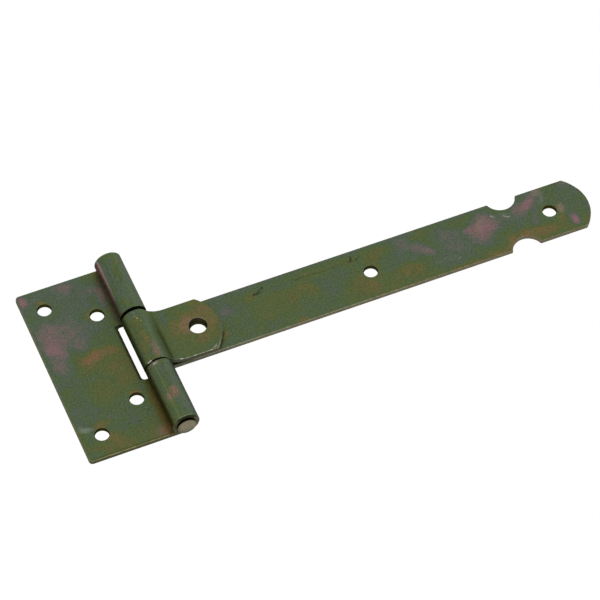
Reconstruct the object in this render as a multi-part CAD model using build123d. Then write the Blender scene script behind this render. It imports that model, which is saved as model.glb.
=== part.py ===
from build123d import *

import math
import os

# Tee hinge, millimetres.
# Frame: the pin runs along Y, X runs from the pin towards the strap's tip,
# Z points away from the mounting surface, which is the plane Z = 0.

# sheet
SHEET = 2.05  # thickness of both leaves
EDGE_R = 0.35  # die roll along the sheared upper edges
BURR_R = 0.15  # small break on the lower edges
RIM_R = 0.25  # break on the upper rims of the holes

# cross leaf
LEAF_HEIGHT = 86.0
LEAF_REACH = 40.1  # pin axis to the free edge
LEAF_CORNER_R = 1.6
LEAF_ROLL_R = 5.55  # outside of the roll from underneath to the crown
LEAF_OPEN_R = 5.7  # outside of the roll from the crown to its free end
SEAM_GAP = 0.12  # free end of the roll to the plate
WINDOW_X = -7.36  # edge of the window that the strap's knuckle turns in
WINDOW_HALF = 13.85
WINDOW_PLATE = (-14.65, 13.85)  # the window is a little longer in the plate than between the knuckles
WINDOW_CORNER_R = 1.5
LEAF_HOLE_R = 2.9
OUTER_HOLE = (-31.2, 32.5)
INNER_HOLE = (-12.65, 22.0)

# strap
STRAP_WIDTH = 25.5
STRAP_SHIFT = -0.4  # end play along the pin, taken up on one side
STRAP_TIP = 194.25
TIP_R = 16.85
TIP_CORNER_R = 0.8
NOTCH_X = 161.06
NOTCH_OFFSET = 14.4
NOTCH_R = 6.5
NOTCH_CORNER_R = 0.5
STRAP_ROLL_R = 5.6
STRAP_ROLL_X = -0.2  # slack of the strap's knuckle on the pin
FOLD_GAP = (0.15, 1.1)  # between the tab and the strap under it, at the -Y and +Y edges
FOLD_TURN = 37.5  # angle on the knuckle, above level, where it turns into the hollow bend
TAB_END = 31.1
TAB_END_R = 16.8
TAB_CORNER_R = 0.8
TAB_HOLE = (21.97, 0.2)
TAB_HOLE_R = 3.65
UNDER_HOLE = (22.25, 0.8)  # the hole in the strap under it is a little out of line
UNDER_HOLE_R = 3.35
STRAP_HOLE_R = 2.9
MID_HOLE_X = 97.07
END_HOLE_X = 177.2

# pin
PIN_R = 3.0
PIN_Z = 5.2
PEEN_R = 3.95  # head spread by peening the pin's ends
PEEN_DROP = 0.6  # the head is spread off centre, towards the mounting plane
PEEN_FLARE = 0.5  # height over which the pin spreads into the head
PEEN_HEIGHT = 0.75
PEEN_SEAT = 0.03
PEEN_EDGE_R = 0.12


def polar(cx, cz, r, degrees):
    a = math.radians(degrees)
    return (cx + r * math.cos(a), cz + r * math.sin(a))


def sheet_section(edges, half):
    """Closed outline in the XZ plane, drawn out to both sides along Y."""
    face = Plane.XZ * make_face(edges)
    return extrude(face, amount=half, both=True)


def drill(x, y, r, low, high):
    return Pos(x, y, (low + high) / 2) * Cylinder(r, high - low)


def edges_where(shape, test):
    return [e for e in shape.edges() if test(e)]


def span(edge):
    box = edge.bounding_box()
    return box.min, box.max


def near(a, b, tol=1e-3):
    return abs(a - b) < tol


# ---------------------------------------------------------------- cross leaf
t = SHEET
crown = 2 * LEAF_ROLL_R
open_z = crown - LEAF_OPEN_R
end_angle = 180 - math.degrees(math.asin((t + SEAM_GAP - open_z) / LEAF_OPEN_R))
mid_angle = (90 + end_angle) / 2
inner = LEAF_ROLL_R - t
inner_open = LEAF_OPEN_R - t

leaf_outline = [
    Line((-LEAF_REACH, 0), (0, 0)),
    ThreePointArc((0, 0), (LEAF_ROLL_R, LEAF_ROLL_R), (0, crown)),
    ThreePointArc(
        (0, crown),
        polar(0, open_z, LEAF_OPEN_R, mid_angle),
        polar(0, open_z, LEAF_OPEN_R, end_angle),
    ),
    Line(
        polar(0, open_z, LEAF_OPEN_R, end_angle),
        polar(0, open_z, inner_open, end_angle),
    ),
    ThreePointArc(
        polar(0, open_z, inner_open, end_angle),
        polar(0, open_z, inner_open, mid_angle),
        (0, crown - t),
    ),
    ThreePointArc((0, crown - t), (inner, LEAF_ROLL_R), (0, t)),
    Line((0, t), (-LEAF_REACH, t)),
    Line((-LEAF_REACH, t), (-LEAF_REACH, 0)),
]
leaf = sheet_section(leaf_outline, LEAF_HEIGHT / 2)

# window between the two knuckles, with rounded inner corners
window = extrude(
    Pos((WINDOW_X + 30) / 2, 0)
    * RectangleRounded(30 - WINDOW_X, 2 * WINDOW_HALF, WINDOW_CORNER_R),
    amount=40,
    both=True,
)
leaf -= window
plate_window = extrude(
    Pos((WINDOW_X - 2) / 2, sum(WINDOW_PLATE) / 2)
    * RectangleRounded(-2 - WINDOW_X, WINDOW_PLATE[1] - WINDOW_PLATE[0], WINDOW_CORNER_R),
    amount=t + SEAM_GAP / 2,
)
leaf -= plate_window
for sy in (-1, 1):
    leaf -= drill(OUTER_HOLE[0], sy * OUTER_HOLE[1], LEAF_HOLE_R, -1, t + 1)
    leaf -= drill(INNER_HOLE[0], sy * INNER_HOLE[1], LEAF_HOLE_R, -1, t + 1)

# rounded corners of the free edge
leaf = fillet(
    edges_where(
        leaf,
        lambda e: near(span(e)[0].X, -LEAF_REACH)
        and near(span(e)[1].X, -LEAF_REACH)
        and near(span(e)[0].Y, span(e)[1].Y)
        and span(e)[1].Z - span(e)[0].Z > t / 2,
    ),
    LEAF_CORNER_R,
)


def leaf_top_edge(e):
    low, high = span(e)
    flat = near(low.Z, t) and near(high.Z, t)
    rim = e.geom_type == GeomType.CIRCLE and near(e.radius, LEAF_HOLE_R)
    along_seam = near(low.X, high.X) and not near(low.X, -LEAF_REACH) and not near(low.X, WINDOW_X)
    return flat and not rim and not along_seam


def leaf_top_rim(e):
    low, high = span(e)
    return near(low.Z, t) and near(high.Z, t) and e.geom_type == GeomType.CIRCLE and near(e.radius, LEAF_HOLE_R)


def leaf_under_edge(e):
    low, high = span(e)
    return near(low.Z, 0) and near(high.Z, 0) and not near(low.X, high.X, 1e-6) or (
        near(low.Z, 0) and near(high.Z, 0) and (near(low.X, -LEAF_REACH) or near(low.X, WINDOW_X))
    )


leaf = fillet(edges_where(leaf, leaf_top_edge), EDGE_R)
leaf = fillet(edges_where(leaf, leaf_top_rim), RIM_R)
leaf = fillet(edges_where(leaf, leaf_under_edge), BURR_R)
leaf.label = "leaf"

# --------------------------------------------------------------------- strap
sx, sz = STRAP_ROLL_X, STRAP_ROLL_R
s_in = STRAP_ROLL_R - t
s_mid = STRAP_ROLL_R - t / 2
half_w = STRAP_WIDTH / 2
tip_x = STRAP_TIP + 2

# strap and the round of its knuckle
strap_outline = [
    Line((tip_x, 0), (sx, 0)),
    ThreePointArc((sx, 0), (sx - STRAP_ROLL_R, sz), (sx, 2 * STRAP_ROLL_R)),
    ThreePointArc(
        (sx, 2 * STRAP_ROLL_R),
        polar(sx, sz, STRAP_ROLL_R, (90 + FOLD_TURN) / 2),
        polar(sx, sz, STRAP_ROLL_R, FOLD_TURN),
    ),
    Line(polar(sx, sz, STRAP_ROLL_R, FOLD_TURN), polar(sx, sz, s_in, FOLD_TURN)),
    ThreePointArc(
        polar(sx, sz, s_in, FOLD_TURN),
        polar(sx, sz, s_in, (90 + FOLD_TURN) / 2),
        (sx, sz + s_in),
    ),
    ThreePointArc((sx, sz + s_in), (sx - s_in, sz), (sx, t)),
    Line((sx, t), (tip_x, t)),
    Line((tip_x, t), (tip_x, 0)),
]
strap = sheet_section(strap_outline, half_w)


def fold_face(gap, y):
    """Section of the hollow bend and the tab, at one edge of the strap."""
    mid = t + gap + t / 2
    k = math.sin(math.radians(FOLD_TURN))
    bend = (sz + s_mid * k - mid) / (1 - k)
    bx = sx + (s_mid + bend) * math.cos(math.radians(FOLD_TURN))
    bz = mid + bend
    half_way = (180 + FOLD_TURN + 270) / 2
    end = TAB_END + 2
    outline = [
        ThreePointArc(
            polar(sx, sz, STRAP_ROLL_R, FOLD_TURN),
            polar(bx, bz, bend - t / 2, half_way),
            (bx, mid + t / 2),
        ),
        Line((bx, mid + t / 2), (end, mid + t / 2)),
        Line((end, mid + t / 2), (end, mid - t / 2)),
        Line((end, mid - t / 2), (bx, mid - t / 2)),
        ThreePointArc(
            (bx, mid - t / 2),
            polar(bx, bz, bend + t / 2, half_way),
            polar(sx, sz, s_in, FOLD_TURN),
        ),
        Line(polar(sx, sz, s_in, FOLD_TURN), polar(sx, sz, STRAP_ROLL_R, FOLD_TURN)),
    ]
    return Plane((0, y, 0), x_dir=(1, 0, 0), z_dir=(0, -1, 0)) * make_face(outline)


# the tab lies close to the strap along one edge and stands a little off it along the other
fold = loft([fold_face(FOLD_GAP[0], -half_w), fold_face(FOLD_GAP[1], half_w)], ruled=True)
strap += fold


def tab_top(y):
    f = (y + half_w) / STRAP_WIDTH
    return 2 * t + FOLD_GAP[0] + (FOLD_GAP[1] - FOLD_GAP[0]) * f


# rounded tip and rounded end of the tab
tip_from = STRAP_TIP - TIP_R
tip_cut = Pos(tip_from + 20, 0, t / 2) * Box(40, STRAP_WIDTH + 4, t + 2)
tip_cut -= drill(tip_from, 0, TIP_R, -3, t + 3)
strap -= tip_cut
tab_from = TAB_END - TAB_END_R
split = t + min(FOLD_GAP) / 2
tab_plan = Rectangle(2 * TAB_END, STRAP_WIDTH) & (Pos(tab_from, 0) * Circle(TAB_END_R) + Rectangle(2 * tab_from, 2 * TAB_END_R))
tab_plan = fillet([v for v in tab_plan.vertices() if v.X > 15], TAB_CORNER_R)
tab_cut = Pos(tab_from + 15, 0, split + 5) * Box(30, STRAP_WIDTH + 4, 10)
tab_cut -= extrude(Pos(0, 0, split - 1) * tab_plan, amount=12)
strap -= tab_cut

# edge notches
for sy in (-1, 1):
    strap -= drill(NOTCH_X, sy * NOTCH_OFFSET, NOTCH_R, -1, t + 1)


def upright(e, x_low, x_high, z_low, z_high):
    low, high = span(e)
    return (
        near(low.X, high.X)
        and near(low.Y, high.Y)
        and x_low < low.X < x_high
        and near(low.Z, z_low)
        and near(high.Z, z_high)
    )


strap = fillet(edges_where(strap, lambda e: upright(e, 183, 194, 0, t)), TIP_CORNER_R)
strap = fillet(edges_where(strap, lambda e: upright(e, 150, 175, 0, t)), NOTCH_CORNER_R)


# screw holes, the first through the tab and the strap under it
strap -= drill(TAB_HOLE[0], TAB_HOLE[1], TAB_HOLE_R, split, tab_top(half_w) + 1)
strap -= drill(UNDER_HOLE[0], UNDER_HOLE[1], UNDER_HOLE_R, -1, split)
strap -= drill(MID_HOLE_X, 0, STRAP_HOLE_R, -1, t + 1)
strap -= drill(END_HOLE_X, 0, STRAP_HOLE_R, -1, t + 1)


def round_rim(e):
    low, high = span(e)
    return (
        near(low.Z, t)
        and near(high.Z, t)
        and e.geom_type == GeomType.CIRCLE
        and near(e.radius, STRAP_HOLE_R)
    )


def on_strap_top(e):
    low, high = span(e)
    hole = e.geom_type == GeomType.CIRCLE and (
        near(e.radius, STRAP_HOLE_R) or near(e.radius, UNDER_HOLE_R)
    )
    return near(low.Z, t) and near(high.Z, t) and high.X > sx + 1 and not hole


def on_tab_top(e):
    points = [e @ f for f in (0, 0.25, 0.5, 0.75, 1)]
    return all(near(p.Z, tab_top(p.Y)) for p in points) and max(p.X for p in points) > 12


def tab_rim(e):
    points = [e @ f for f in (0, 0.25, 0.5, 0.75, 1)]
    return all(
        near(math.hypot(p.X - TAB_HOLE[0], p.Y - TAB_HOLE[1]), TAB_HOLE_R) for p in points
    )


strap = fillet(edges_where(strap, on_strap_top), EDGE_R)
strap = fillet(edges_where(strap, lambda e: on_tab_top(e) and not tab_rim(e)), EDGE_R)
strap = fillet(edges_where(strap, round_rim), RIM_R)
strap = fillet(edges_where(strap, lambda e: on_tab_top(e) and tab_rim(e)), RIM_R)
strap = Pos(0, STRAP_SHIFT, 0) * strap
strap.label = "strap"

# ----------------------------------------------------------------------- pin
seat = LEAF_HEIGHT / 2 + PEEN_SEAT


def ring(y, r, z):
    return Plane((0, y, z), x_dir=(1, 0, 0), z_dir=(0, 1, 0)) * Circle(r)


head_z = PIN_Z - PEEN_DROP
pin = loft(
    [
        ring(-seat - PEEN_HEIGHT, PEEN_R, head_z),
        ring(-seat - PEEN_FLARE, PEEN_R, head_z),
        ring(-seat, PIN_R, PIN_Z),
        ring(seat, PIN_R, PIN_Z),
        ring(seat + PEEN_FLARE, PEEN_R, head_z),
        ring(seat + PEEN_HEIGHT, PEEN_R, head_z),
    ],
    ruled=True,
)
pin = fillet(
    edges_where(pin, lambda e: near(abs(span(e)[0].Y), seat + PEEN_HEIGHT) and near(span(e)[0].Y, span(e)[1].Y)),
    PEEN_EDGE_R,
)
pin.label = "pin"

os.makedirs("parts", exist_ok=True)
for name, shape in (("leaf", leaf), ("strap", strap), ("pin", pin)):
    export_step(shape, f"parts/{name}.step")
    print(name, round(shape.volume, 1), shape.bounding_box())
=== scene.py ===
import math
import bpy
from mathutils import Matrix, Vector

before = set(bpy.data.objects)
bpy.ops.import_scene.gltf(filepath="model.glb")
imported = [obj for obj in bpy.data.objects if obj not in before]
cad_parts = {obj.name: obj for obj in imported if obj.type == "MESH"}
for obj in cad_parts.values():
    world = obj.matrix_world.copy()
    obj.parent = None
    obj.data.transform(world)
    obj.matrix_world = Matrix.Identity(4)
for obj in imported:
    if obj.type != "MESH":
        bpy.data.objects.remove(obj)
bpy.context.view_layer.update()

scene = bpy.context.scene
scene.view_settings.view_transform = "Standard"
scene.view_settings.look = "None"

# ------------------------------------------------------------------- camera
# Position, turn and focal length of the photograph's camera, in the hinge's frame.
K = 0.98
AZ, EL, ROLL = math.radians(-23.210), math.radians(53.369), math.radians(0.272)
TARGET = Vector(((66.643 + 0.35) * K, -1.235 * K, 0.0)) * 0.001
DIST = 1249.26 * K * 0.001
FOCAL_PX = 3044.9
c = Vector((math.sin(AZ) * math.cos(EL), -math.cos(AZ) * math.cos(EL), math.sin(EL)))
r = Vector((math.cos(AZ), math.sin(AZ), 0.0))
u = c.cross(r)
r2 = r * math.cos(ROLL) + u * math.sin(ROLL)
u2 = u * math.cos(ROLL) - r * math.sin(ROLL)
cam_data = bpy.data.cameras.new("camera")
cam = bpy.data.objects.new("camera", cam_data)
scene.collection.objects.link(cam)
m = Matrix((r2, u2, c)).transposed().to_4x4()
m.translation = TARGET + c * DIST
cam.matrix_world = m
cam_data.sensor_fit = "HORIZONTAL"
cam_data.sensor_width = 36.0
cam_data.lens = 36.0 * FOCAL_PX / 600.0
cam_data.clip_start = 0.05
cam_data.clip_end = 20.0
scene.camera = cam


# -------------------------------------------------------------- node helpers
class Graph:
    """Builds one procedural material; sockets and plain numbers mix freely."""

    def __init__(self, name):
        self.mat = bpy.data.materials.new(name)
        self.mat.use_nodes = True
        self.nt = self.mat.node_tree
        self.bsdf = self.nt.nodes["Principled BSDF"]

    def put(self, sock, v):
        if isinstance(v, bpy.types.NodeSocket):
            self.nt.links.new(v, sock)
        elif sock.type == "RGBA" and len(v) == 3:
            sock.default_value = (*v, 1.0)
        else:
            sock.default_value = v

    def node(self, kind, **props):
        n = self.nt.nodes.new(kind)
        for k, v in props.items():
            setattr(n, k, v)
        return n

    def math(self, op, a, b=None, c=None, clamp=False):
        n = self.node("ShaderNodeMath", operation=op, use_clamp=clamp)
        for s, v in zip(n.inputs, (a, b, c)):
            if v is not None:
                self.put(s, v)
        return n.outputs[0]

    def add(self, a, b):
        return self.math("ADD", a, b)

    def sub(self, a, b):
        return self.math("SUBTRACT", a, b)

    def mul(self, a, b):
        return self.math("MULTIPLY", a, b)

    def mad(self, a, b, c):
        return self.math("MULTIPLY_ADD", a, b, c)

    def least(self, a, b):
        return self.math("MINIMUM", a, b)

    def most(self, a, b):
        return self.math("MAXIMUM", a, b)

    def vec(self, op, a, b=None, scale=None):
        n = self.node("ShaderNodeVectorMath", operation=op)
        self.put(n.inputs[0], a)
        if b is not None:
            self.put(n.inputs[1], b)
        if scale is not None:
            self.put(n.inputs["Scale"], scale)
        return n.outputs["Value"] if op in ("LENGTH", "DOT_PRODUCT", "DISTANCE") else n.outputs["Vector"]

    def split(self, v):
        n = self.node("ShaderNodeSeparateXYZ")
        self.put(n.inputs[0], v)
        return n.outputs[0], n.outputs[1], n.outputs[2]

    def join(self, x, y, z):
        n = self.node("ShaderNodeCombineXYZ")
        for s, v in zip(n.inputs, (x, y, z)):
            self.put(s, v)
        return n.outputs[0]

    def ramp01(self, x, lo, hi, to_lo=0.0, to_hi=1.0, smooth=True):
        n = self.node("ShaderNodeMapRange", interpolation_type="SMOOTHSTEP" if smooth else "LINEAR")
        n.clamp = True
        for s, v in zip(("Value", "From Min", "From Max", "To Min", "To Max"), (x, lo, hi, to_lo, to_hi)):
            self.put(n.inputs[s], v)
        return n.outputs[0]

    def noise(self, v, scale, detail=3.0, rough=0.5, distort=0.0, colour=False):
        n = self.node("ShaderNodeTexNoise", noise_dimensions="3D")
        self.put(n.inputs["Vector"], v)
        for s, val in (("Scale", scale), ("Detail", detail), ("Roughness", rough), ("Distortion", distort)):
            self.put(n.inputs[s], val)
        return n.outputs["Color"] if colour else n.outputs["Fac"]

    def mapping(self, v, loc, rot_deg, scale):
        n = self.node("ShaderNodeMapping", vector_type="TEXTURE")
        self.put(n.inputs["Vector"], v)
        n.inputs["Location"].default_value = loc
        n.inputs["Rotation"].default_value = (0.0, 0.0, math.radians(rot_deg))
        n.inputs["Scale"].default_value = scale
        return n.outputs[0]

    def mixf(self, fac, a, b):
        n = self.node("ShaderNodeMix", data_type="FLOAT")
        self.put(n.inputs[0], fac)
        self.put(n.inputs[2], a)
        self.put(n.inputs[3], b)
        return n.outputs[0]

    def mixc(self, fac, a, b, blend="MIX"):
        n = self.node("ShaderNodeMix", data_type="RGBA", blend_type=blend)
        self.put(n.inputs[0], fac)
        self.put(n.inputs[6], a)
        self.put(n.inputs[7], b)
        return n.outputs[2]

    def ramp(self, fac, stops):
        n = self.node("ShaderNodeValToRGB")
        cr = n.color_ramp
        cr.interpolation = "LINEAR"
        while len(cr.elements) < len(stops):
            cr.elements.new(1.0)
        for e, (p, col) in zip(cr.elements, stops):
            e.position = p
            e.color = (*col, 1.0)
        self.put(n.inputs[0], fac)
        return n.outputs[0]

    # The running value rides along as a third coordinate that its huge scale takes out
    # again, so the marks are worked out one after the other.
    def spot(self, value, xy, spot, mask):
        """Soft oval (x, y, rx, ry, turn, soft) added to a mask."""
        x, y, rx, ry, turn, soft = spot
        q = self.mapping(self.join(*xy, value), (x, y, 0.0), turn, (rx, ry, 1e6))
        return self.most(value, self.mul(self.ramp01(self.vec("LENGTH", q), 1.0, 1.0 - soft), mask))

    def pull(self, value, xy, spots, mask):
        """Each spot (x, y, rx, ry, turn, target, strength, soft) pulls value towards its target."""
        for x, y, rx, ry, turn, target, strength, soft in spots:
            q = self.mapping(self.join(*xy, value), (x, y, 0.0), turn, (rx, ry, 1e6))
            w = self.ramp01(self.vec("LENGTH", q), 1.0 + 0.62 * soft, 1.0 - 0.72 * soft, 0.0, strength)
            value = self.mixf(self.mul(w, mask), value, target)
        return value

    def patches(self, xy, spots, mask):
        """Mask of soft ovals (x, y, rx, ry, turn, unused, strength, soft)."""
        value = 0.0
        for x, y, rx, ry, turn, _, strength, soft in spots:
            q = self.mapping(self.join(*xy, value), (x, y, 0.0), turn, (rx, ry, 1e6))
            w = self.ramp01(self.vec("LENGTH", q), 1.0 + 0.62 * soft, 1.0 - 0.72 * soft, 0.0, strength)
            value = self.most(value, self.mul(w, mask))
        return value

    def stroke(self, value, xy, mark, mask):
        """Thin straight mark (x, y, half length, width, turn), soft at its ends, added to a mask."""
        x, y, half, width, turn = mark
        q = self.mapping(self.join(*xy, value), (x, y, 0.0), turn, (half, width, 1e6))
        a, b, _ = self.split(q)
        along = self.ramp01(self.math("ABSOLUTE", a), 1.0, 0.6)
        across = self.ramp01(self.math("ABSOLUTE", b), 1.0, 0.3)
        return self.most(value, self.mul(self.mul(along, across), mask))


# Colours of the plated film, from thin to thick, as reflectance.
FILM = [
    (-0.15, (0.208, 0.138, 0.094)),
    (-0.05, (0.178, 0.108, 0.060)),
    (0.02, (0.165, 0.106, 0.048)),
    (0.14, (0.128, 0.110, 0.043)),
    (0.29, (0.097, 0.109, 0.037)),
    (0.44, (0.078, 0.112, 0.043)),
    (0.56, (0.075, 0.108, 0.058)),
    (0.66, (0.083, 0.108, 0.076)),
    (0.75, (0.108, 0.110, 0.086)),
    (0.84, (0.142, 0.114, 0.098)),
    (0.93, (0.182, 0.115, 0.113)),
    (1.00, (0.212, 0.125, 0.134)),
]
GAIN = (1.09, 1.065, 1.095)


def film_stops():
    return [((p + 0.15) / 1.15, tone(*col)) for p, col in FILM]


def tone(r, g, b):
    return (r * GAIN[0], g * GAIN[1], b * GAIN[2])


# spots on the leaf's face: x, y, rx, ry, turn, film, strength, softness (mm)
LEAF_SPOTS = [
    (-28.7, 38.6, 12.6, 7.2, -2, 0.66, 0.90, 1.0),
    (-16.1, 34.3, 8.5, 7.7, 81, 0.64, 0.84, 1.0),
    (-7.4, 39.4, 4.4, 3.0, 5, 0.45, 0.95, 1.0),
    (-37.8, 31.1, 6.2, 5.0, 34, 0.62, 0.90, 1.0),
    (-23.7, 27.8, 7.7, 3.6, -10, 0.63, 0.84, 1.0),
    (-15.3, 16.2, 6.2, 4.7, -26, 0.61, 0.84, 1.0),
    (-10.0, 6.5, 4.8, 3.7, -77, 0.46, 0.90, 1.0),
    (-25.3, 7.6, 4.7, 3.8, 74, 0.47, 0.90, 1.0),
    (-35.8, -4.7, 7.5, 6.1, 53, 0.61, 0.95, 1.0),
    (-37.7, -12.2, 4.9, 3.5, -81, 0.46, 0.95, 1.0),
    (-34.3, -20.9, 8.4, 5.7, -25, 0.59, 0.95, 1.0),
    (-16.4, -4.6, 5.3, 3.4, -39, 0.30, 0.90, 1.0),
    (-23.0, -14.3, 6.4, 6.1, -87, 0.33, 0.90, 1.0),
    (-18.0, -23.1, 5.6, 4.6, -26, 0.48, 0.78, 1.0),
    (-16.6, -30.4, 6.6, 4.5, -1, 0.57, 0.84, 1.0),
    (-21.6, -38.0, 3.4, 3.2, 90, 0.38, 0.78, 1.0),
    (-34.6, -34.0, 3.7, 2.8, -26, 0.45, 0.78, 1.0),
    (-10.6, -2.8, 6.6, 5.2, -79, 0.26, 0.75, 1.0),
    (-9.2, -9.1, 3.7, 2.9, 56, 0.18, 0.70, 1.0),
    (-13.5, -12.6, 4.3, 3.8, -30, 0.22, 0.75, 1.0),
    (-29.3, 19.4, 10.7, 6.9, -19, 0.84, 0.90, 1.0),
    (-35.8, 17.9, 5.9, 4.0, 72, 0.86, 0.80, 1.0),
    (-33.0, 11.9, 5.6, 4.5, 75, 0.95, 0.86, 1.0),
    (-34.7, 10.6, 2.9, 2.4, 75, 0.98, 0.60, 1.0),
    (-34.6, 4.2, 4.8, 3.4, 78, 0.86, 0.80, 1.0),
    (-23.5, 11.1, 4.8, 4.0, -76, 0.80, 0.75, 1.0),
    (-38.0, 40.3, 3.9, 1.8, 88, 0.97, 0.90, 0.9),
    (-35.9, 43.2, 2.0, 1.0, 1, 0.10, 0.50, 1.0),
    (-20.7, 39.3, 3.2, 2.5, -7, 0.85, 0.75, 1.0),
    (-11.0, 34.4, 2.8, 2.5, -31, 0.78, 0.60, 1.0),
    (-7.8, 30.3, 4.4, 2.1, 89, 0.90, 0.75, 1.0),
    (-24.7, -26.5, 2.0, 1.0, -3, 0.86, 0.75, 1.0),
    (-36.6, -27.1, 3.9, 1.9, -10, 0.66, 0.60, 1.0),
    (-34.4, -29.0, 1.6, 1.5, -84, 0.88, 0.60, 1.0),
    (-23.9, 2.3, 4.3, 3.1, 32, 0.03, 0.92, 1.0),
    (-18.7, 3.8, 4.4, 2.7, -2, 0.02, 0.90, 1.0),
    (-13.6, 3.8, 3.2, 2.2, -8, 0.12, 0.85, 1.0),
    (-27.0, -1.6, 2.4, 2.3, -81, 0.32, 0.60, 1.0),
    (-29.6, -28.5, 4.3, 2.1, 0, 0.10, 0.85, 1.0),
    (-27.4, -35.6, 3.5, 2.8, -26, 0.09, 0.80, 1.0),
    (-33.8, -38.4, 3.9, 1.9, -4, 0.22, 0.70, 1.0),
    (-23.5, -40.7, 9.4, 2.8, -2, 0.17, 0.80, 1.0),
    (-15.6, -39.5, 5.5, 3.3, -3, 0.38, 0.70, 1.0),
    (-31.9, 35.6, 2.4, 1.5, 5, -0.02, 0.75, 1.0),
    (-13.5, 24.3, 2.2, 1.5, -1, -0.04, 0.85, 1.0),
    (-15.6, 23.3, 2.4, 1.4, 58, 0.12, 0.70, 1.0),
    (-10.7, 19.1, 3.0, 1.6, 70, 0.46, 0.70, 1.0),
    (-12.2, -18.9, 2.7, 1.5, -10, -0.02, 0.85, 1.0),
]
# spots on the leaf's knuckles: angle round the pin / 10, y
LEAF_ROLL_SPOTS = [
    (12.4, 34.8, 7.0, 2.6, 86, 0.66, 0.80, 1.0),
    (8.3, 37.9, 3.6, 2.5, -75, 0.58, 0.80, 1.0),
    (8.6, 32.5, 4.4, 1.1, 89, 0.34, 0.70, 1.0),
    (11.1, 24.1, 5.4, 2.1, 87, 0.62, 0.75, 1.0),
    (7.5, 24.1, 8.7, 1.9, 89, 0.60, 0.75, 1.0),
    (15.7, 39.9, 4.0, 1.8, 72, 0.95, 0.90, 1.0),
    (15.6, 33.2, 3.7, 1.6, 78, 0.88, 0.85, 1.0),
    (7.0, 37.6, 1.5, 0.9, -77, 0.14, 0.70, 1.0),
    (10.9, 16.9, 2.5, 2.4, 39, 0.46, 0.60, 1.0),
    (9.2, -19.4, 3.3, 2.7, -24, 0.60, 0.80, 1.0),
    (11.4, -19.2, 3.8, 1.2, 87, 0.58, 0.80, 1.0),
    (10.5, -15.0, 1.6, 0.9, -3, 0.86, 0.80, 1.0),
    (7.3, -25.2, 4.2, 2.3, -84, 0.64, 0.80, 1.0),
    (7.6, -35.4, 7.3, 2.2, 90, 0.60, 0.80, 1.0),
    (11.6, -38.6, 2.8, 2.4, 68, 0.46, 0.75, 1.0),
    (12.8, -30.6, 5.6, 1.3, 87, 0.56, 0.80, 1.0),
    (12.5, -35.4, 2.8, 0.8, 87, 0.30, 0.60, 1.0),
]
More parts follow.
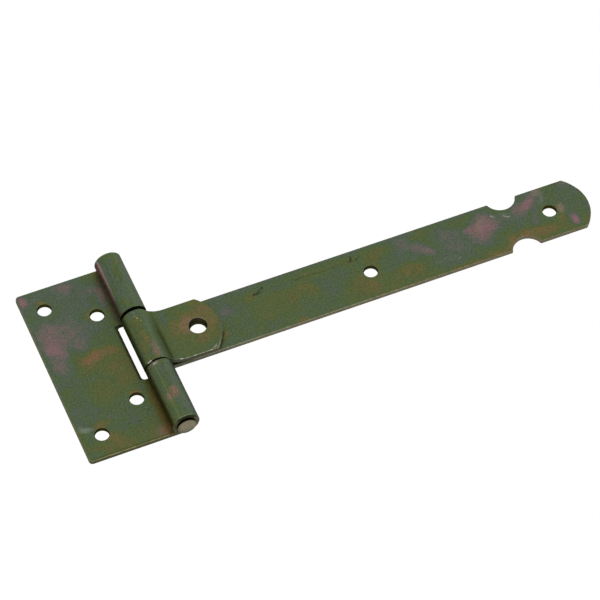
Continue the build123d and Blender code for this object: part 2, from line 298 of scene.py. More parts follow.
# spots on the strap's face
STRAP_SPOTS = [
    (36.6, 7.6, 7.9, 3.5, 0, 0.57, 0.78, 1.0),
    (45.8, 5.9, 7.9, 4.1, 1, 0.50, 0.78, 1.0),
    (47.6, -4.6, 13.7, 5.8, -1, 0.42, 0.90, 1.0),
    (56.3, -0.2, 6.7, 6.0, -23, 0.34, 0.95, 1.0),
    (38.2, -4.3, 6.7, 4.7, -23, 0.52, 0.78, 1.0),
    (55.6, -10.1, 5.9, 3.5, 2, 0.52, 0.84, 1.0),
    (70.1, -8.7, 7.9, 4.6, 2, 0.52, 0.84, 1.0),
    (79.7, -0.8, 7.3, 6.3, 65, 0.59, 0.95, 1.0),
    (86.0, 2.6, 4.3, 3.9, 64, 0.56, 0.96, 1.0),
    (75.2, 9.3, 11.0, 3.0, -1, 0.38, 0.90, 1.0),
    (89.3, 8.4, 7.0, 2.4, -1, 0.42, 0.78, 1.0),
    (93.8, -5.6, 9.8, 5.4, -8, 0.28, 0.96, 1.0),
    (104.7, 8.0, 6.1, 3.0, 1, 0.30, 0.95, 1.0),
    (98.7, 4.4, 3.9, 3.1, -21, 0.30, 0.84, 1.0),
    (105.3, 0.5, 5.5, 4.4, 64, 0.52, 0.84, 1.0),
    (110.8, 3.7, 4.4, 4.3, 0, 0.62, 0.84, 1.0),
    (103.9, -8.8, 5.8, 4.8, -20, 0.37, 0.90, 1.0),
    (114.5, 10.0, 5.1, 2.4, 1, 0.56, 0.67, 1.0),
    (124.5, 7.4, 7.1, 3.6, 1, 0.40, 0.95, 1.0),
    (120.4, -6.4, 7.1, 4.1, 2, 0.45, 0.95, 1.0),
    (130.7, -6.3, 7.4, 4.8, -6, 0.62, 0.95, 1.0),
    (114.9, 0.9, 4.9, 3.7, -21, 0.62, 0.78, 1.0),
    (141.9, 10.2, 6.2, 3.6, 3, 0.42, 0.96, 1.0),
    (142.7, -4.7, 4.9, 4.4, 57, 0.52, 0.78, 1.0),
    (155.4, -3.4, 5.3, 4.1, 48, 0.48, 0.90, 1.0),
    (157.4, 3.7, 4.5, 4.3, 14, 0.66, 0.84, 1.0),
    (164.7, 0.0, 5.5, 3.4, 21, 0.56, 0.90, 1.0),
    (180.5, 6.4, 5.1, 4.4, 55, 0.53, 0.96, 1.0),
    (188.5, 7.7, 6.1, 4.9, -62, 0.62, 0.95, 1.0),
    (187.3, -0.4, 6.3, 3.9, 62, 0.55, 0.96, 1.0),
    (190.1, -3.9, 7.6, 2.0, 64, 0.52, 0.78, 1.0),
    (173.4, -3.6, 3.5, 3.1, -10, 0.50, 0.84, 1.0),
    (182.7, -9.8, 8.2, 3.0, -3, 0.36, 0.84, 1.0),
    (69.1, 2.1, 5.4, 3.9, 3, 0.24, 0.70, 1.0),
    (64.2, -0.2, 3.2, 2.5, -23, 0.24, 0.70, 1.0),
    (46.8, 7.1, 3.0, 1.7, 12, 0.18, 0.65, 1.0),
    (62.6, -12.0, 2.5, 1.2, 0, 0.10, 0.70, 1.0),
    (48.4, 1.6, 2.4, 2.0, -24, 0.28, 0.60, 1.0),
    (30.4, -6.4, 3.4, 1.6, 61, 0.10, 0.75, 1.0),
    (93.9, -7.3, 4.1, 3.0, -5, 0.17, 0.60, 1.0),
    (112.3, -5.7, 4.9, 3.5, -5, 0.16, 0.80, 1.0),
    (103.3, -8.0, 2.5, 2.4, 54, 0.32, 0.50, 1.0),
    (148.4, -11.6, 6.8, 2.2, 3, 0.15, 0.85, 1.0),
    (135.4, -12.7, 6.7, 1.5, -2, 0.13, 0.75, 1.0),
    (115.3, -11.9, 10.8, 2.9, -1, 0.30, 0.60, 1.0),
    (156.2, -9.3, 4.0, 2.1, 77, -0.02, 0.85, 1.0),
    (164.6, -7.8, 5.0, 3.0, -6, 0.03, 0.88, 1.0),
    (171.1, -8.3, 5.1, 3.0, -3, 0.10, 0.85, 1.0),
    (177.9, -8.4, 2.9, 2.6, -10, 0.30, 0.80, 1.0),
    (180.8, 11.7, 2.2, 1.2, 7, 0.10, 0.85, 1.0),
    (36.5, 3.3, 3.2, 3.2, -87, 0.80, 0.65, 1.0),
    (113.1, 8.9, 2.6, 2.0, 11, 0.82, 0.75, 1.0),
    (120.7, 2.9, 6.2, 2.8, -44, 0.92, 0.85, 1.0),
    (123.9, -0.7, 2.9, 2.0, -54, 0.90, 0.25, 1.0),
    (115.1, 6.4, 4.9, 3.1, -38, 0.80, 0.70, 1.0),
    (133.8, -1.5, 6.5, 3.3, -22, 0.78, 0.80, 1.0),
    (132.8, 5.1, 6.2, 4.1, -9, 0.80, 0.80, 1.0),
    (148.8, 2.8, 7.8, 5.7, 62, 0.82, 0.75, 1.0),
    (149.1, 3.3, 6.0, 4.6, 71, 0.98, 0.80, 1.0),
    (142.8, 4.2, 2.5, 1.9, -20, 0.93, 0.85, 1.0),
    (144.2, -1.4, 3.3, 2.3, -21, 0.92, 0.50, 1.0),
    (169.0, 6.2, 7.3, 2.9, 33, 0.97, 0.88, 1.0),
    (165.0, 7.3, 3.3, 2.7, 42, 0.88, 0.65, 1.0),
    (176.0, 6.1, 3.7, 0.9, 55, 0.70, 0.70, 1.0),
    (171.0, 0.8, 4.6, 1.2, 72, 0.80, 0.75, 1.0),
    (169.6, -3.1, 1.9, 1.4, 61, 0.86, 0.45, 1.0),
    (180.7, -4.5, 1.6, 1.5, 45, 0.20, 0.50, 1.0),
    (185.4, -7.9, 2.7, 2.2, 83, 1.00, 0.92, 0.9),
    (188.7, 11.0, 2.1, 1.5, -1, 0.80, 0.70, 1.0),
]
# spots on the folded tab
TAB_SPOTS = [
    (20.0, 1.7, 13.7, 9.7, 1, 0.24, 0.80, 1.0),
    (12.0, 9.4, 4.0, 3.2, 71, 0.50, 0.70, 1.0),
    (9.8, 7.1, 5.7, 1.6, -89, 0.66, 0.70, 1.0),
    (8.0, -4.9, 4.1, 3.8, 28, 0.42, 0.70, 1.0),
    (15.8, 10.5, 4.0, 2.4, -1, 0.46, 0.70, 1.0),
    (25.2, 11.4, 3.6, 3.0, -4, 0.24, 0.85, 1.0),
    (28.3, 6.3, 4.0, 3.2, 70, 0.16, 0.85, 1.0),
    (28.8, 0.2, 4.9, 2.4, 68, 0.18, 0.80, 1.0),
    (24.8, -5.6, 3.6, 3.4, -33, 0.28, 0.75, 1.0),
    (13.6, 2.8, 4.0, 2.9, -7, 0.22, 0.75, 1.0),
    (14.9, -2.5, 2.9, 2.8, 78, 0.30, 0.70, 1.0),
    (18.8, -7.9, 5.6, 2.4, -3, 0.38, 0.70, 1.0),
    (21.5, -6.4, 2.8, 2.2, -25, 0.12, 0.70, 1.0),
    (18.6, 3.4, 4.4, 3.2, 69, 0.08, 0.70, 1.0),
    (24.8, 5.1, 4.4, 3.0, -16, 0.15, 0.60, 1.0),
    (27.4, -0.3, 4.4, 2.0, 68, 0.10, 0.70, 1.0),
    (13.1, 4.7, 1.6, 1.5, -31, 0.08, 0.60, 1.0),
]
# spots on the strap's knuckle: angle round the pin / 10, y
STRAP_ROLL_SPOTS = [
    (10.2, 2.0, 11.4, 3.6, 88, 0.27, 0.70, 1.0),
    (9.7, 10.8, 2.8, 1.9, 2, 0.72, 0.80, 1.0),
    (8.9, 6.1, 4.3, 2.1, -89, 0.26, 0.85, 1.0),
    (6.5, 4.5, 5.8, 2.6, -86, 0.60, 0.75, 1.0),
    (9.9, -2.9, 4.3, 2.0, 89, 0.28, 0.85, 1.0),
    (10.3, -0.6, 2.9, 1.2, 88, 0.12, 0.80, 1.0),
    (12.5, -4.9, 2.9, 1.1, 86, 0.06, 0.80, 1.0),
    (11.8, 1.4, 5.7, 1.2, 88, 0.48, 0.70, 1.0),
    (7.7, -5.9, 2.8, 1.3, -87, 0.88, 0.70, 1.0),
    (10.2, -9.1, 2.8, 1.0, 88, 0.60, 0.70, 1.0),
    (6.1, -8.7, 3.8, 1.6, -87, 0.58, 0.70, 1.0),
]
LEAF_BLUSH = [
    (-7.1, -40.3, 3.3, 2.6, 0, 0.00, 0.85, 1.0),
    (-4.4, -38.6, 1.9, 1.6, 71, 0.00, 0.50, 1.0),
    (-9.0, -41.8, 2.4, 1.6, -2, 0.00, 0.50, 1.0),
]
LEAF_ROLL_BLUSH = [
    (9.0, -30.3, 2.8, 1.8, -80, 0.00, 0.85, 0.9),
    (11.7, -32.1, 1.8, 1.3, 82, 0.00, 0.75, 1.0),
    (10.8, -15.1, 1.8, 0.8, -1, 0.00, 0.35, 1.0),
]
STRAP_BLUSH = [
    (146.8, 4.2, 4.1, 1.3, 46, 0.00, 0.45, 1.0),
    (176.2, 10.8, 2.2, 2.0, 49, 0.00, 0.45, 1.0),
    (182.0, -0.5, 2.3, 1.6, 58, 0.00, 0.72, 1.0),
    (180.7, -4.5, 1.4, 1.2, 51, 0.00, 0.28, 1.0),
]
TAB_BLUSH = [
    (17.5, 1.2, 3.0, 1.8, 69, 0.00, 0.36, 1.0),
    (19.2, 3.9, 1.5, 1.4, 74, 0.00, 0.45, 1.0),
]
STRAP_ROLL_BLUSH = [
    (7.9, -8.7, 2.6, 1.4, -83, 0.00, 0.75, 1.0),
    (7.7, -5.4, 2.1, 1.1, -86, 0.00, 0.50, 1.0),
]
LEAF_PALE = [
    (-36.7, -28.5, 2.4, 1.5, -13, 0.00, 0.36, 0.8),
    (-38.4, -27.3, 1.2, 0.9, -12, 0.00, 0.15, 1.0),
    (-12.5, -6.7, 0.8, 0.8, -52, 0.00, 0.06, 1.0),
]
STRAP_PALE = [
    (176.7, 6.9, 3.7, 1.2, 57, 0.00, 0.12, 1.0),
    (176.2, 10.8, 2.1, 2.0, 34, 0.00, 0.16, 1.0),
    (181.9, -0.7, 1.8, 1.3, 60, 0.00, 0.12, 1.0),
    (148.0, 4.8, 3.0, 0.9, 46, 0.00, 0.12, 1.0),
    (130.1, -6.6, 2.9, 1.1, -7, 0.00, 0.06, 1.0),
    (125.2, -6.8, 1.7, 1.0, -4, 0.00, 0.06, 1.0),
    (159.4, 5.1, 2.5, 1.3, -36, 0.00, 0.12, 1.0),
    (154.7, 6.5, 1.4, 0.8, -44, 0.00, 0.14, 1.0),
]
# spots on both undersides
BACK_LEAF = [
    (-30, 20, 9, 12, 30, 0.92, 0.8, 1.0), (-15, -25, 8, 10, -20, 0.14, 0.7, 1.0), (-25, -8, 8, 6, 0, 0.62, 0.7, 1.0),
    (-12, 30, 6, 9, 0, 0.20, 0.7, 1.0), (-34, -34, 6, 6, 0, 0.84, 0.7, 1.0),
]
BACK_STRAP = [
    (30, 3, 10, 8, 0, 0.20, 0.7, 1.0), (55, -4, 12, 6, 10, 0.86, 0.75, 1.0), (80, 5, 12, 5, 0, 0.60, 0.7, 1.0),
    (104, -3, 9, 6, -15, 0.12, 0.7, 1.0), (128, 4, 10, 6, 20, 0.95, 0.8, 1.0), (150, -5, 10, 5, 0, 0.30, 0.7, 1.0),
    (172, 4, 9, 6, 0, 0.84, 0.7, 1.0), (186, -4, 6, 6, 0, 0.14, 0.7, 1.0),
]

LEAF_HOLES = [(-31.2, 32.5, 2.9), (-31.2, -32.5, 2.9), (-12.65, 22.0, 2.9), (-12.65, -22.0, 2.9)]
STRAP_HOLES = [(97.07, 0.0, 2.9), (177.2, 0.0, 2.9)]
TAB_HOLE = (21.97, 0.2, 3.65)
UNDER_HOLE = (22.25, 0.8, 3.35)
CREASE = 6.1
SHADE_STRAP = [(28.3, -9.0, 3.4, 1.0, 54, 0.9), (30.4, -5.9, 2.9, 0.6, 62, 0.9)]


def plated(name, kind):
    """Zinc plate with a yellow-iridescent film over sheared and rolled steel sheet."""
    g = Graph(name)
    tc = g.node("ShaderNodeTexCoord")
    p = g.vec("SCALE", tc.outputs["Object"], scale=1000.0)
    if kind == "strap":
        p = g.vec("ADD", p, (0.0, 0.4, 0.0))
    x, y, z = g.split(p)
    nx, ny, nz = g.split(tc.outputs["Normal"])
    tall = g.join(x, y, g.mul(z, 4.0))

    # uneven outlines for all spots
    warp = g.vec("SUBTRACT", g.noise(tall, 0.13, 3.0, 0.55, colour=True), (0.5, 0.5, 0.5))
    warp2 = g.vec("SUBTRACT", g.noise(tall, 0.6, 3.0, 0.6, colour=True), (0.5, 0.5, 0.5))
    pw = g.vec("ADD", p, g.vec("ADD", g.vec("SCALE", warp, scale=4.5), g.vec("SCALE", warp2, scale=2.0)))
    wx, wy, wz = g.split(pw)
    flat = (wx, wy)
    plain = g.join(x, y, 0.0)

    # angle round the pin in tens of degrees, from 0 towards the tip over 9 on top to 18 at the plate
    if kind == "leaf":
        turn = g.math("ARCTAN2", g.mul(x, -1.0), g.sub(z, 5.5))
    else:
        turn = g.math("ARCTAN2", g.mul(g.add(x, 0.2), -1.0), g.sub(z, 5.6))
    turn10 = g.mad(turn, 18.0 / math.pi, 9.0)
    warp_x, warp_y, _ = g.split(warp)
    rolled = (g.mad(warp_x, 1.4, turn10), g.mad(warp_y, 4.0, y))
    arc = (turn10, y)

    def band(v, centre, half):
        return g.ramp01(g.math("ABSOLUTE", g.sub(v, centre)), half, 0.0)

    top = g.ramp01(nz, -0.3, 0.1)
    back = g.sub(1.0, top)
    # what marks the side of a roll fades out before its underside
    flank_fade = g.ramp01(turn10, -7.0, 0.0)
    broad = g.noise(tall, 0.06, 4.0, 0.55)
    mid = g.noise(tall, 0.22, 3.0, 0.55)
    film = g.add(g.mad(broad, 0.55, 0.20), g.mad(mid, 0.30, -0.15))

    if kind == "leaf":
        roll = g.most(g.ramp01(z, 2.3, 2.7), g.ramp01(x, -2.5, -1.5))
        face = g.mul(top, g.sub(1.0, roll))
        film = g.pull(film, flat, LEAF_SPOTS, face)
        film = g.pull(film, rolled, LEAF_ROLL_SPOTS, roll)
        film = g.mixf(g.mul(g.mul(roll, flank_fade), g.ramp01(turn10, 7.6, 5.0, 0.0, 0.7)), film, 0.67)
        # pink band on the upper knuckle's flank towards the leaf: partly film colour, partly painted highlight
        seam_side = g.mul(g.ramp01(turn10, 14.0, 14.6, 0.0, 0.8), g.ramp01(turn10, 20.6, 20.0))
        film = g.mixf(g.mul(g.mul(roll, seam_side), g.ramp01(y, 18.0, 24.0)), film, 0.93)
        film = g.pull(film, flat, BACK_LEAF, back)
    else:
        high = g.ramp01(z, 2.5, 3.0)
        roll = g.mul(g.most(high, g.ramp01(x, -0.5, -1.5)), g.ramp01(x, 7.5, 4.5))
        face = g.mul(top, g.sub(1.0, high))
        tab = g.mul(g.mul(high, top), g.sub(1.0, roll))
        film = g.pull(film, flat, STRAP_SPOTS, face)
        far_edge = g.mul(g.mul(face, g.ramp01(wy, 9.8, 12.2, 0.0, 0.62)), g.ramp01(x, 28.0, 34.0))
        film = g.mixf(far_edge, film, 0.70)
        film = g.pull(film, flat, TAB_SPOTS, tab)
        film = g.pull(film, rolled, STRAP_ROLL_SPOTS, roll)
        film = g.pull(film, flat, BACK_STRAP, back)
    # the film is uneven at small scale too
    small = g.noise(tall, 0.9, 4.0, 0.6)
    mottle = g.noise(g.vec("ADD", tall, (31.0, 17.0, 5.0)), 0.26, 2.0, 0.5)
    film = g.mad(g.sub(small, 0.5), 0.12, g.mad(g.sub(mottle, 0.5), 0.40, film))
    # lengthwise drawing marks on the rolls
    streak = g.noise(g.join(g.mul(turn10, 1.3), g.mul(y, 0.08), 0.0), 1.0, 3.0, 0.6)
    film = g.mad(g.mul(g.sub(streak, 0.5), roll), 0.22, film)
    colour = g.ramp(g.mad(film, 1.0 / 1.15, 0.15 / 1.15), film_stops())

    # salmon blush where the film is thinnest
    if kind == "leaf":
        blush = g.most(g.patches(flat, LEAF_BLUSH, face), g.patches(rolled, LEAF_ROLL_BLUSH, roll))
    else:
        blush = g.most(g.patches(flat, STRAP_BLUSH, face), g.patches(rolled, STRAP_ROLL_BLUSH, roll))
        blush = g.most(blush, g.patches(flat, TAB_BLUSH, tab))
    colour = g.mixc(blush, colour, g.mixc(small, tone(0.19, 0.105, 0.085), tone(0.205, 0.145, 0.085)))

    pale = g.patches(flat, LEAF_PALE if kind == "leaf" else STRAP_PALE, face)
    colour = g.mixc(pale, colour, tone(0.25, 0.285, 0.23))

    # brightness: cloudy, then grainy
    cloud = g.noise(tall, 0.16, 4.0, 0.55)
    grain = g.noise(p, 1.4, 2.0, 0.8)
    shade = g.add(g.mad(cloud, 0.22, 0.89), g.mad(grain, 1.6, -0.8))
    shade = g.mad(g.mul(g.sub(streak, 0.5), roll), 0.4, shade)
    # painted highlights: brighter towards the side of each knuckle away from the leaf, with streaks along the leaf's
    # knuckles; painted shade in the groove where the sheets meet
    painted_roll_highlight = g.mul(g.mul(g.ramp01(turn10, 8.6, 6.0), flank_fade), 0.17)
    if kind == "leaf":
        upper = g.ramp01(y, -5.0, 5.0)
        lower = g.sub(1.0, upper)
        painted_roll_highlight = g.mad(g.mul(band(turn10, 11.5, 0.9), lower), 0.22, painted_roll_highlight)
        painted_roll_highlight = g.mad(g.mul(band(turn10, 14.6, 0.7), g.ramp01(y, 20.0, 28.0)), 0.55, painted_roll_highlight)
        shade = g.mad(g.mul(painted_roll_highlight, roll), 1.0, shade)
        # painted shade on the knuckles' flank in the groove: red-brown on the upper knuckle, dark olive on the lower
        painted_groove_shade = g.mul(g.mul(roll, g.ramp01(turn10, 20.6, 20.0)), g.ramp01(g.mad(upper, -0.4, turn10), 14.5, 15.5))
        colour = g.mixc(g.mul(g.mul(painted_groove_shade, upper), 0.85), colour, tone(0.105, 0.064, 0.044))
        colour = g.mixc(g.mul(g.mul(painted_groove_shade, lower), 0.88), colour, tone(0.050, 0.046, 0.008))
        # painted reflection of the knuckles in the plate at their foot, with painted shade: reddish by the upper
        # knuckle, brown by the lower
        painted_foot_reflection = g.mul(g.mul(face, g.ramp01(x, -8.6, -6.4)), g.ramp01(g.math("ABSOLUTE", y), 14.0, 14.8))
        colour = g.mixc(g.mul(painted_foot_reflection, upper), colour, tone(1.05, 0.78, 0.74), "MULTIPLY")
        colour = g.mixc(g.mul(painted_foot_reflection, lower), colour, tone(1.00, 0.82, 0.48), "MULTIPLY")
        # golden-brown band on the plate along the foot of the lower knuckle
        lower_foot_band = g.mul(g.mul(face, g.ramp01(wx, -8.9, -6.5)), g.ramp01(wy, -16.5, -24.0))
        colour = g.mixc(g.mul(lower_foot_band, 0.66), colour, tone(0.118, 0.085, 0.026))
        # painted shade on the side of the knuckles turned away from the leaf
        painted_side_shade = g.mul(g.mul(roll, flank_fade), g.ramp01(turn10, 4.9, 3.2))
        colour = g.mixc(painted_side_shade, colour, g.mixc(upper, tone(0.62, 0.54, 0.60), tone(0.95, 0.90, 0.95)), "MULTIPLY")
        # painted shade: dark line on the plate along the edge of the window
        slot = g.mul(g.mul(face, g.ramp01(x, -9.0, -7.95)), g.ramp01(g.math("ABSOLUTE", g.add(y, 0.27)), 14.5, 13.9))
        colour = g.mixc(slot, colour, (0.27, 0.27, 0.24), "MULTIPLY")
    else:
        shade = g.mad(g.mul(painted_roll_highlight, roll), 1.0, shade)
        # painted shade in the groove on the side of the strap's knuckle towards the window
        painted_groove_shade = g.mul(g.mul(roll, g.ramp01(turn10, 20.6, 20.0)), g.ramp01(turn10, 13.9, 15.9))
        colour = g.mixc(painted_groove_shade, colour, tone(0.52, 0.52, 0.30), "MULTIPLY")
        # painted shade in the crease where the strap's knuckle turns into the tab
        painted_crease_shade = g.mul(g.mul(band(x, CREASE, 1.7), g.ramp01(y, 10.0, -1.0, 0.35, 1.0)), g.mul(top, g.ramp01(z, 2.6, 3.0)))
        colour = g.mixc(painted_crease_shade, colour, tone(0.42, 0.48, 0.40), "MULTIPLY")

    # sheared edges: a burnished line with a painted highlight along the upper edge, strongest where the edge faces -y,
    # and a torn wall under it
    steep_y = g.ramp01(g.math("ABSOLUTE", ny), 0.55, 0.85)
    steep = g.ramp01(g.math("ABSOLUTE", nz), 0.75, 0.35)
    level = g.mul(g.ramp01(nz, 0.98, 0.86), g.ramp01(nz, 0.2, 0.45))
    front = g.ramp01(ny, 0.15, -0.25, 0.25, 1.0)
    tear = g.noise(g.join(g.mul(x, 0.5), g.mul(y, 0.5), g.mul(z, 2.6)), 1.0, 4.0, 0.65)
    fine_tear = g.noise(g.join(x, y, g.mul(z, 2.0)), 2.2, 3.0, 0.6)
    if kind == "leaf":
        flank = g.sub(1.0, roll)
        wall = g.mul(g.most(steep_y, g.mul(steep, g.ramp01(x, -6.9, -7.2))), flank)
        line = g.mul(g.mul(level, front), g.mul(flank, g.ramp01(x, -6.8, -7.4)))
        holes = LEAF_HOLES
        low_tear, high_tear = tone(0.042, 0.044, 0.021), tone(0.112, 0.112, 0.058)
        low_line, high_line = tone(0.225, 0.200, 0.090), tone(0.365, 0.315, 0.150)
    else:
        flank = g.sub(1.0, roll)
        wall = g.mul(g.most(steep_y, g.mul(steep, g.ramp01(x, 14.5, 16.0))), flank)
        line = g.mul(g.mul(level, front), g.most(g.mul(flank, g.ramp01(x, 14.5, 16.0)), g.mul(g.mul(high, flank), steep_y)))
        line = g.most(line, g.mul(g.mul(g.mul(high, flank), front), g.mul(g.ramp01(ny, -0.2, -0.5), g.ramp01(ny, -0.97, -0.8))))
        # fainter in the bend and round the tab's end
        line = g.mul(line, g.sub(1.0, g.mul(high, g.ramp01(x, 12.5, 9.5, 0.0, 0.8))))
        line = g.mul(line, g.sub(1.0, g.mul(high, g.ramp01(x, 26.5, 29.0, 0.0, 0.5))))
        holes = STRAP_HOLES
        low_tear, high_tear = tone(0.086, 0.080, 0.050), tone(0.215, 0.198, 0.130)
        far_part = g.ramp01(x, 90.0, 135.0)
        low_line = g.mixc(far_part, tone(0.215, 0.200, 0.125), tone(0.185, 0.150, 0.085))
        high_line = g.mixc(far_part, tone(0.345, 0.320, 0.215), tone(0.285, 0.225, 0.130))
    wall_colour = g.mixc(g.ramp01(g.mad(fine_tear, 0.5, g.mul(tear, 0.6)), 0.35, 0.75), low_tear, high_tear)
    if kind == "strap":
        # the doubled end is duller than the rest of the wall
        wall_colour = g.mixc(g.ramp01(z, 2.1, 2.4), wall_colour, tone(0.58, 0.64, 0.62), "MULTIPLY")
        wall_colour = g.mixc(g.ramp01(x, 38.0, 28.0), wall_colour, tone(0.64, 0.71, 0.74), "MULTIPLY")
    line_colour = g.mixc(g.ramp01(tear, 0.35, 0.65), low_line, high_line)
    colour = g.mixc(g.mul(wall, 0.92), colour, wall_colour)
    if kind == "leaf":
        # painted shade on the plate beside the bright edge
        painted_edge_shade = g.mul(g.mul(flank, g.ramp01(nz, 0.9, 0.99)), g.mul(g.ramp01(y, -41.8, -42.3), 0.7))
        colour = g.mixc(painted_edge_shade, colour, tone(0.60, 0.62, 0.50), "MULTIPLY")
    colour = g.mixc(g.mul(line, 0.85), colour, line_colour)

    # painted shade on the walls of the holes, nearly black
    painted_bore_shade = 0.0
    for hx, hy, hr in holes:
        d = g.vec("DISTANCE", plain, (hx, hy, 0.0))
        painted_bore_shade = g.most(painted_bore_shade, g.ramp01(d, hr + 0.32, hr + 0.05))
    if kind == "strap":
        d = g.vec("DISTANCE", plain, (TAB_HOLE[0], TAB_HOLE[1], 0.0))
        painted_bore_shade = g.most(painted_bore_shade, g.mul(g.ramp01(d, TAB_HOLE[2] + 0.35, TAB_HOLE[2] + 0.05), g.ramp01(z, 2.2, 2.3)))
        d = g.vec("DISTANCE", plain, (UNDER_HOLE[0], UNDER_HOLE[1], 0.0))
        painted_bore_shade = g.most(painted_bore_shade, g.mul(g.ramp01(d, UNDER_HOLE[2] + 0.3, UNDER_HOLE[2] + 0.05), g.ramp01(z, 2.3, 2.2)))
    painted_bore_shade = g.mul(painted_bore_shade, g.ramp01(nz, 0.97, 0.78))
    bore_colour = g.mixc(fine_tear, tone(0.020, 0.019, 0.004), tone(0.058, 0.052, 0.014))
    if kind == "strap":
        bore_colour = g.mixc(g.ramp01(z, 2.2, 2.4), bore_colour, g.mixc(g.ramp01(x, 20.0, 25.5), (0.013, 0.011, 0.002), (0.040, 0.030, 0.007)))
    colour = g.mixc(g.mul(painted_bore_shade, 0.95), colour, bore_colour)

    # ends of the rolls: painted shade, black where two knuckles face each other, and on the outer ends dark at the top
    # and olive at the sides
    painted_end_shade = g.mul(g.ramp01(g.math("ABSOLUTE", ny), 0.75, 0.93), roll)
    if kind == "leaf":
        inner = g.ramp01(g.math("ABSOLUTE", y), 20.0, 18.0)
        end_shade_colour = g.mixc(g.ramp01(g.math("ABSOLUTE", g.sub(turn10, 8.6)), 3.6, 6.0), tone(0.020, 0.019, 0.008), tone(0.078, 0.072, 0.040))
        end_shade_colour = g.mixc(inner, end_shade_colour, (0.010, 0.009, 0.005))
        colour = g.mixc(g.mul(painted_end_shade, 0.95), colour, end_shade_colour)
        # painted shade on the end of the window under the upper knuckle
        painted_nook_shade = g.mul(g.mul(steep_y, g.ramp01(g.math("ABSOLUTE", g.sub(y, 13.85)), 0.6, 0.3)), g.ramp01(z, 2.6, 2.2))
        colour = g.mixc(painted_nook_shade, colour, (0.010, 0.010, 0.005))
    else:
        colour = g.mixc(g.mul(painted_end_shade, 0.95), colour, (0.010, 0.009, 0.005))

    # small marks: dents and scratches, painted shadow under the tab's end, and painted glints
    dark_marks_and_shadow = 0.0
    glint_and_scratch = 0.0
    if kind == "leaf":
        for hx, hy, rr in ((-15.2, -32.0, 0.9), (-10.7, -28.6, 0.6), (-19.8, -32.1, 0.6), (-12.0, -28.0, 0.45), (-17.0, 9.0, 0.4)):
            dark_marks_and_shadow = g.spot(dark_marks_and_shadow, flat, (hx, hy, rr, rr * 0.8, 20, 0.8), face)
        # bright marks on the leaf, and painted glints on the rims of the lower knuckle
        glint_and_scratch = g.stroke(glint_and_scratch, flat, (-11.6, -27.6, 0.8, 0.25, 10), g.mul(face, 0.12))
        glint_and_scratch = g.stroke(glint_and_scratch, flat, (-25.0, -6.5, 0.7, 0.3, -70), g.mul(face, 0.25))
        glint_and_scratch = g.stroke(glint_and_scratch, arc, (11.0, -14.85, 1.1, 0.42, -3), g.mul(roll, 0.42))
        glint_and_scratch = g.stroke(glint_and_scratch, arc, (9.4, -42.7, 3.6, 0.26, 0), g.mul(roll, 0.14))
    else:
        broken = g.ramp01(g.noise(p, 0.3, 3.0, 0.6), 0.25, 0.65, 0.15, 0.6)
        scratch = g.stroke(0.0, (x, g.mad(g.split(warp2)[1], 0.9, y)), (80.0, 7.6, 17.5, 0.34, -1.8), g.mul(broken, face))
        colour = g.mixc(scratch, colour, tone(0.070, 0.050, 0.022))
        # painted shadow on the strap under the rounded end of the tab
        for q in SHADE_STRAP:
            dark_marks_and_shadow = g.spot(dark_marks_and_shadow, (x, y), q, face)
        for q in ((50.2, 8.0, 2.4, 0.55, 25), (51.0, 7.4, 1.4, 0.5, -10), (53.2, 9.0, 0.8, 0.4, 5), (92.2, 9.0, 1.5, 0.75, 52), (90.2, 8.3, 1.1, 0.3, -3), (94.4, 8.6, 1.0, 0.3, 4), (68.3, 8.2, 1.3, 0.4, 0)):
            dark_marks_and_shadow = g.stroke(dark_marks_and_shadow, flat, q, face)
        # bright scratches on the strap
        for q in ((154.4, 6.4, 1.0, 0.3, -25), (159.4, 4.4, 1.3, 0.3, -40), (161.0, 3.6, 0.9, 0.4, 15)):
            glint_and_scratch = g.stroke(glint_and_scratch, flat, q, g.mul(face, 0.26))
        for q in ((80.0, -1.8, 0.6, 0.3, 30), (134.5, -4.2, 0.8, 0.4, 20), (133.0, -8.2, 0.9, 0.45, 15)):
            glint_and_scratch = g.stroke(glint_and_scratch, flat, q, g.mul(face, 0.07))
        # painted glints on the burnished near edge of the tab, and scratches at its corner
        tab_near_edge = g.mul(g.mul(high, flank), g.ramp01(y, -12.1, -12.45))
        tab_near_edge = g.mul(tab_near_edge, g.mul(g.ramp01(ny, -0.1, -0.35), g.ramp01(ny, -0.95, -0.75)))
        tab_edge_glints = g.most(band(x, 10.0, 1.0), g.most(g.mul(band(x, 15.8, 1.0), 0.55), g.mul(band(x, 22.6, 0.9), 0.7)))
        glint_and_scratch = g.most(glint_and_scratch, g.mul(tab_near_edge, tab_edge_glints))
        glint_and_scratch = g.stroke(glint_and_scratch, flat, (24.8, -11.6, 1.6, 0.3, 28), g.mul(tab, 0.28))
        glint_and_scratch = g.stroke(glint_and_scratch, flat, (25.8, -10.6, 1.2, 0.25, 45), g.mul(tab, 0.18))
        # painted glint on the worn rim of the strap's knuckle, pale scratches on its top, and a painted highlight on
        # the lip of the tab's hole
        glint_and_scratch = g.stroke(glint_and_scratch, arc, (12.6, -12.66, 1.35, 0.32, -3), g.mul(roll, 0.9))
        for q in ((10.2, 9.6, 0.7, 0.25, 60), (9.3, 8.4, 0.4, 0.5, 10), (9.9, 11.4, 0.3, 0.3, 0), (8.2, 6.8, 0.3, 0.3, 0)):
            glint_and_scratch = g.stroke(glint_and_scratch, arc, q, g.mul(roll, 0.22))
        ring = g.vec("DISTANCE", plain, (TAB_HOLE[0], TAB_HOLE[1], 0.0))
        lip = g.mul(g.ramp01(g.math("ABSOLUTE", g.sub(ring, 3.82)), 0.26, 0.05), g.mul(high, g.ramp01(y, 0.5, 2.0)))
        glint_and_scratch = g.most(glint_and_scratch, g.mul(lip, 0.12))
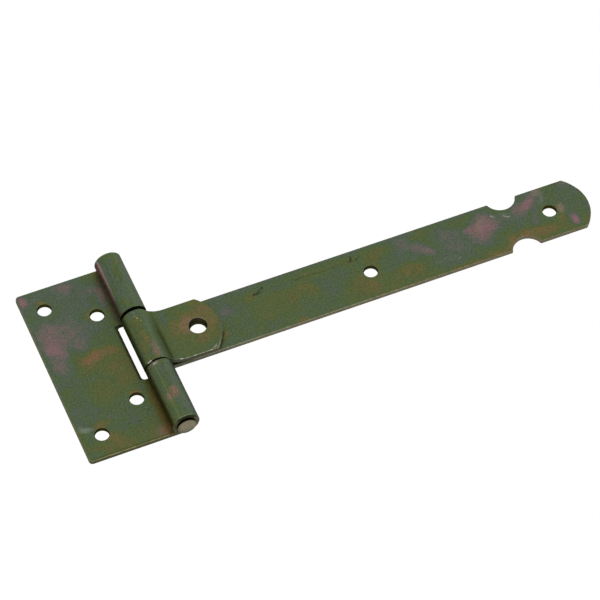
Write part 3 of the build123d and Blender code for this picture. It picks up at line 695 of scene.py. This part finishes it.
    # dark marks and painted shadow, then bright scratches and painted glints
    colour = g.mixc(g.mul(dark_marks_and_shadow, 0.75), colour, tone(0.028, 0.026, 0.012))
    colour = g.mixc(glint_and_scratch, colour, (0.66, 0.63, 0.50))

    final = g.mixc(1.0, colour, g.join(shade, shade, shade), "MULTIPLY")
    g.put(g.bsdf.inputs["Base Color"], final)
    g.bsdf.inputs["Metallic"].default_value = 0.8
    g.put(g.bsdf.inputs["Specular IOR Level"], g.mul(g.sub(1.0, painted_bore_shade), 0.3))
    # no tinted specular in the painted shade of the holes and the groove
    painted_shade_spec = g.most(painted_bore_shade, painted_groove_shade)
    g.put(g.bsdf.inputs["Specular Tint"], g.mixc(painted_shade_spec, (0.45, 0.45, 0.42), (0.02, 0.02, 0.01)))
    rough = g.add(g.mad(cloud, 0.16, 0.42), g.mul(wall, 0.12))
    rough = g.mad(g.sub(grain, 0.5), 0.25, rough)
    g.put(g.bsdf.inputs["Roughness"], g.math("ADD", rough, g.mul(glint_and_scratch, -0.12), clamp=True))

    # relief: orange-peel of the plating, drawing marks, torn walls, marks
    peel = g.noise(p, 1.3, 3.0, 0.6)
    height = g.add(g.mul(peel, 0.5), g.mul(grain, 0.35))
    height = g.mad(g.mul(streak, roll), 1.2, height)
    height = g.mad(g.mul(fine_tear, wall), 2.5, height)
    height = g.mad(dark_marks_and_shadow, -1.6, height)
    height = g.mad(glint_and_scratch, -0.8, height)
    bump = g.node("ShaderNodeBump")
    bump.inputs["Strength"].default_value = 0.55
    bump.inputs["Distance"].default_value = 0.00003
    g.put(bump.inputs["Height"], height)
    g.nt.links.new(bump.outputs[0], g.bsdf.inputs["Normal"])
    return g.mat


def pin_steel():
    """Drawn steel rod, its ends spread by peening and lightly plated."""
    g = Graph("pin_finish")
    tc = g.node("ShaderNodeTexCoord")
    p = g.vec("SCALE", tc.outputs["Object"], scale=1000.0)
    x, y, z = g.split(p)
    out = g.math("ABSOLUTE", y)
    r = g.vec("LENGTH", g.join(x, g.sub(z, 4.6), 0.0))
    cloud = g.noise(p, 0.5, 4.0, 0.6)
    grain = g.noise(p, 2.2, 3.0, 0.65)
    tint = g.mixc(cloud, (0.165, 0.142, 0.082), (0.25, 0.218, 0.138))
    # greyer towards the plate; painted shade: darker brown at the rim, darkest at the lower left
    tint = g.mixc(g.ramp01(z, 4.6, 2.4, 0.0, 0.75), tint, (0.155, 0.140, 0.098))
    painted_rim_shade = g.ramp01(g.mad(g.sub(cloud, 0.5), 1.2, r), 3.2, 3.95)
    tint = g.mixc(g.mul(painted_rim_shade, 0.6), tint, (0.105, 0.096, 0.052))
    tint = g.mixc(g.mul(g.ramp01(r, 2.0, 3.9), g.ramp01(g.add(x, z), 4.4, 1.8, 0.0, 0.65)), tint, (0.070, 0.066, 0.036))
    # painted shade under the head
    tint = g.mixc(g.ramp01(out, 43.66, 43.56), tint, (0.008, 0.007, 0.004))
    shade = g.mad(grain, 0.5, 0.75)
    g.put(g.bsdf.inputs["Base Color"], g.mixc(1.0, tint, g.join(shade, shade, shade), "MULTIPLY"))
    g.bsdf.inputs["Metallic"].default_value = 0.8
    g.bsdf.inputs["Specular IOR Level"].default_value = 0.2
    g.put(g.bsdf.inputs["Roughness"], g.mad(grain, 0.3, 0.36))
    dents = g.noise(p, 0.9, 3.0, 0.55)
    bump = g.node("ShaderNodeBump")
    bump.inputs["Strength"].default_value = 0.6
    bump.inputs["Distance"].default_value = 0.0001
    g.put(bump.inputs["Height"], g.add(dents, g.mul(grain, 0.2)))
    g.nt.links.new(bump.outputs[0], g.bsdf.inputs["Normal"])
    return g.mat


def dress(node, mat):
    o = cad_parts[node]
    for s in o.material_slots:
        s.material = mat


dress("leaf", plated("leaf_finish", "leaf"))
dress("strap", plated("strap_finish", "strap"))
dress("pin", pin_steel())

# -------------------------------------------------------------------- stage
mesh = bpy.data.meshes.new("floor")
# well below the hinge, so that the strap swings down past the leaf without going through it
mesh.from_pydata([(-18, -18, -1.0), (18, -18, -1.0), (18, 18, -1.0), (-18, 18, -1.0)], [], [(0, 1, 2, 3)])
floor = bpy.data.objects.new("floor", mesh)
scene.collection.objects.link(floor)
g = Graph("floor_paper")
tc = g.node("ShaderNodeTexCoord")
tooth = g.noise(g.vec("SCALE", tc.outputs["Object"], scale=1000.0), 0.4, 3.0, 0.6)
g.put(g.bsdf.inputs["Base Color"], g.mixc(tooth, (0.03, 0.03, 0.03), (0.06, 0.06, 0.06)))
g.bsdf.inputs["Roughness"].default_value = 0.95
g.bsdf.inputs["Specular IOR Level"].default_value = 0.0
# lit from below like a light table, so that it stays pale under the hinge
g.bsdf.inputs["Emission Color"].default_value = (1.0, 1.0, 0.995, 1.0)
g.bsdf.inputs["Emission Strength"].default_value = 0.97
mesh.materials.append(g.mat)

# ------------------------------------------------------------ studio light
# one even white tent, a little brighter overhead and on the side of the strap
world = bpy.data.worlds.new("studio")
scene.world = world
world.use_nodes = True
nt = world.node_tree
bg = nt.nodes["Background"]
bg.inputs["Color"].default_value = (1.0, 1.0, 1.0, 1.0)
wtc = nt.nodes.new("ShaderNodeTexCoord")
lean = nt.nodes.new("ShaderNodeVectorMath")
lean.operation = "DOT_PRODUCT"
nt.links.new(wtc.outputs["Generated"], lean.inputs[0])
lean.inputs[1].default_value = (0.45, 0.25, 0.8)
rise = nt.nodes.new("ShaderNodeMapRange")
rise.inputs["From Min"].default_value = -0.3
rise.inputs["From Max"].default_value = 1.0
rise.inputs["To Min"].default_value = 0.82
rise.inputs["To Max"].default_value = 1.08
nt.links.new(lean.outputs["Value"], rise.inputs["Value"])
nt.links.new(rise.outputs[0], bg.inputs["Strength"])
